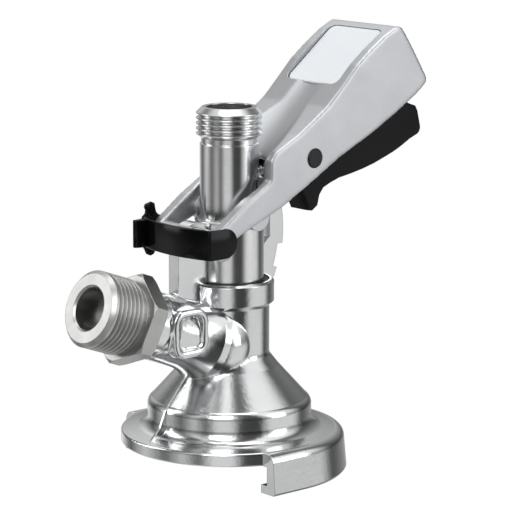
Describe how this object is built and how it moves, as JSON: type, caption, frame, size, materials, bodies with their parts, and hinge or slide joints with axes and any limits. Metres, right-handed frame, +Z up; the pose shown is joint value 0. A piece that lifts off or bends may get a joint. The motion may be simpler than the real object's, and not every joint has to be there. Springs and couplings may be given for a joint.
{
  "type": "keg coupler",
  "caption": "Slide-on keg coupler with a hinged lever handle, squeeze release, sliding threaded probe and an angled threaded gas inlet.",
  "frame": {"origin": "on the probe axis at the face that seats on the keg", "axes": "+Z up along the probe towards its threaded outlet, +X towards the handle, -X towards the gas inlet, Y along the lever's hinge"},
  "size_m": [0.1424, 0.0824, 0.1514],
  "materials": {
    "cast_brass_chrome": "satin",
    "seal_rubber": "matte",
    "turned_steel": "satin",
    "nickel_nipple": "satin",
    "fibre_washer": "matte",
    "valve_plastic": "satin",
    "spring_steel": "satin",
    "clip_plastic": "gloss",
    "handle_casting": "satin",
    "label_film": "satin",
    "blackened_pin": "satin",
    "grip_plastic": "satin"
  },
  "bodies": {
    "body": {"body_casting": "cast_brass_chrome", "keg_seal": "seal_rubber", "probe_wiper": "seal_rubber", "inlet_nipple": "nickel_nipple", "nipple_washer": "fibre_washer", "valve_cage": "valve_plastic", "valve_spring": "spring_steel", "hinge_pin": "turned_steel"},
    "lever": {"handle_casting": "handle_casting", "label_plate": "label_film", "release_pin": "blackened_pin", "retaining_clip": "clip_plastic", "drive_pin_near": "turned_steel", "drive_pin_far": "turned_steel"},
    "release": {"squeeze_grip": "grip_plastic", "latch_pawl": "spring_steel", "cross_pin": "turned_steel"},
    "probe": {"probe_tube": "turned_steel", "probe_o_rings": "seal_rubber", "probe_tip_seal": "seal_rubber"},
    "valve": {"valve_poppet": "valve_plastic", "valve_disc": "seal_rubber"}
  },
  "joints": [
    {"name": "lever_hinge", "type": "hinge", "parent": "body", "child": "lever", "pos_m": [-0.017, 0, 0.073], "axis": [0, 1, 0], "range_deg": [0, 28]},
    {"name": "probe_slide", "type": "slide", "parent": "body", "child": "probe", "axis": [0, 0, -1], "range_m": [0, 0.009]},
    {"name": "release_hinge", "type": "hinge", "parent": "lever", "child": "release", "pos_m": [0.0239, 0, 0.0992], "axis": [0, 1, 0], "range_deg": [-5, 5], "stiffness_Nm_per_rad": 0.5},
    {"name": "gas_valve_slide", "type": "slide", "parent": "body", "child": "valve", "axis": [0.9397, 0, -0.342], "range_m": [0, 0.0025], "stiffness_N_per_m": 120, "springref_m": -0.002, "deforming": ["valve_spring"]}
  ],
  "couplings": [
    {"joint": "probe_slide", "follows": "lever_hinge", "m_per_rad": 0.0182}
  ]
}
